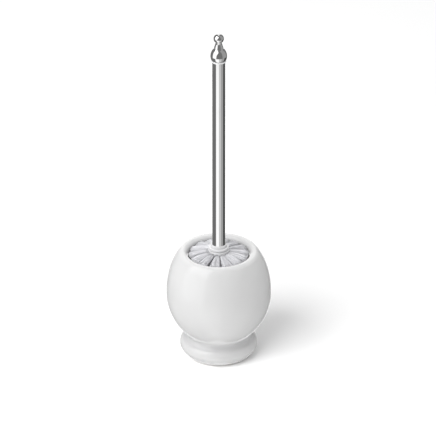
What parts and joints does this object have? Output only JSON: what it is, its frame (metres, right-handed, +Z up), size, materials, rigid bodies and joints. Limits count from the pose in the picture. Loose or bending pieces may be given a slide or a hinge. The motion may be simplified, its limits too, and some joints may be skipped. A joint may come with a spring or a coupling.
{
  "type": "toilet brush holder",
  "caption": "Globe-shaped glazed ceramic holder on a flared foot, with a bristle brush on a chromed tube handle that ends in a turned finial.",
  "frame": {"origin": "on the vertical axis, on the surface that the pads stand on", "axes": "+Z up along the handle, +X to the right and +Y to the back; everything but the bristles and the pads is turned about Z"},
  "size_m": [0.13, 0.13, 0.4432],
  "materials": {
    "glazed_ceramic": "white gloss glaze",
    "pad_foam": "off-white soft pad",
    "white_plastic": "white moulded plastic, satin",
    "bristle_nylon": "white nylon filament, faintly translucent",
    "chrome": "polished chrome plate",
    "zinc_steel": "zinc-plated steel"
  },
  "bodies": {
    "holder": {"holder_pot": "glazed_ceramic", "base_pad_1": "pad_foam", "base_pad_2": "pad_foam", "base_pad_3": "pad_foam", "base_pad_4": "pad_foam"},
    "brush_head": {"head_core": "white_plastic", "head_stud": "zinc_steel", "bristle_tuft_1": "bristle_nylon", "bristle_tuft_2": "bristle_nylon", "bristle_tuft_3": "bristle_nylon", "bristle_tuft_4": "bristle_nylon", "bristle_tuft_5": "bristle_nylon", "bristle_tuft_6": "bristle_nylon", "bristle_tuft_7": "bristle_nylon", "bristle_tuft_8": "bristle_nylon", "bristle_tuft_9": "bristle_nylon", "bristle_tuft_10": "bristle_nylon", "bristle_tuft_11": "bristle_nylon", "bristle_tuft_12": "bristle_nylon", "bristle_tuft_13": "bristle_nylon", "bristle_tuft_14": "bristle_nylon", "bristle_row_2": "bristle_nylon", "bristle_row_3": "bristle_nylon", "bristle_row_4": "bristle_nylon", "bristle_row_5": "bristle_nylon", "bristle_row_6": "bristle_nylon", "bristle_row_7": "bristle_nylon", "bristle_row_8": "bristle_nylon", "bristle_row_9": "bristle_nylon", "bristle_row_10": "bristle_nylon", "bristle_row_11": "bristle_nylon", "bristle_row_12": "bristle_nylon", "bristle_crown": "bristle_nylon"},
    "collar": {"collar": "white_plastic"},
    "handle": {"handle_tube": "chrome", "tube_bottom_plug": "white_plastic", "tube_top_plug": "white_plastic"},
    "finial_washer": {"finial_washer": "white_plastic"},
    "finial": {"finial": "chrome", "finial_stud": "zinc_steel"}
  },
  "joints": [
    {"name": "brush_lift", "type": "slide", "parent": "holder", "child": "brush_head", "axis": [0, 0, 1], "range_m": [0, 0.15]},
    {"name": "handle_unscrew", "type": "hinge", "parent": "brush_head", "child": "collar", "pos_m": [0, 0, 0.1461], "axis": [0, 0, 1], "range_deg": [0, 3600]},
    {"name": "handle_rise", "type": "slide", "parent": "collar", "child": "handle", "axis": [0, 0, 1], "range_m": [0, 0.0126]},
    {"name": "finial_unscrew", "type": "hinge", "parent": "handle", "child": "finial_washer", "pos_m": [0, 0, 0.4059], "axis": [0, 0, 1], "range_deg": [0, 2880]},
    {"name": "finial_rise", "type": "slide", "parent": "finial_washer", "child": "finial", "axis": [0, 0, 1], "range_m": [0, 0.0081]}
  ],
  "couplings": [
    {"joint": "handle_rise", "follows": "handle_unscrew", "m_per_rad": 0.00019894},
    {"joint": "finial_rise", "follows": "finial_unscrew", "m_per_rad": 0.00015915}
  ]
}
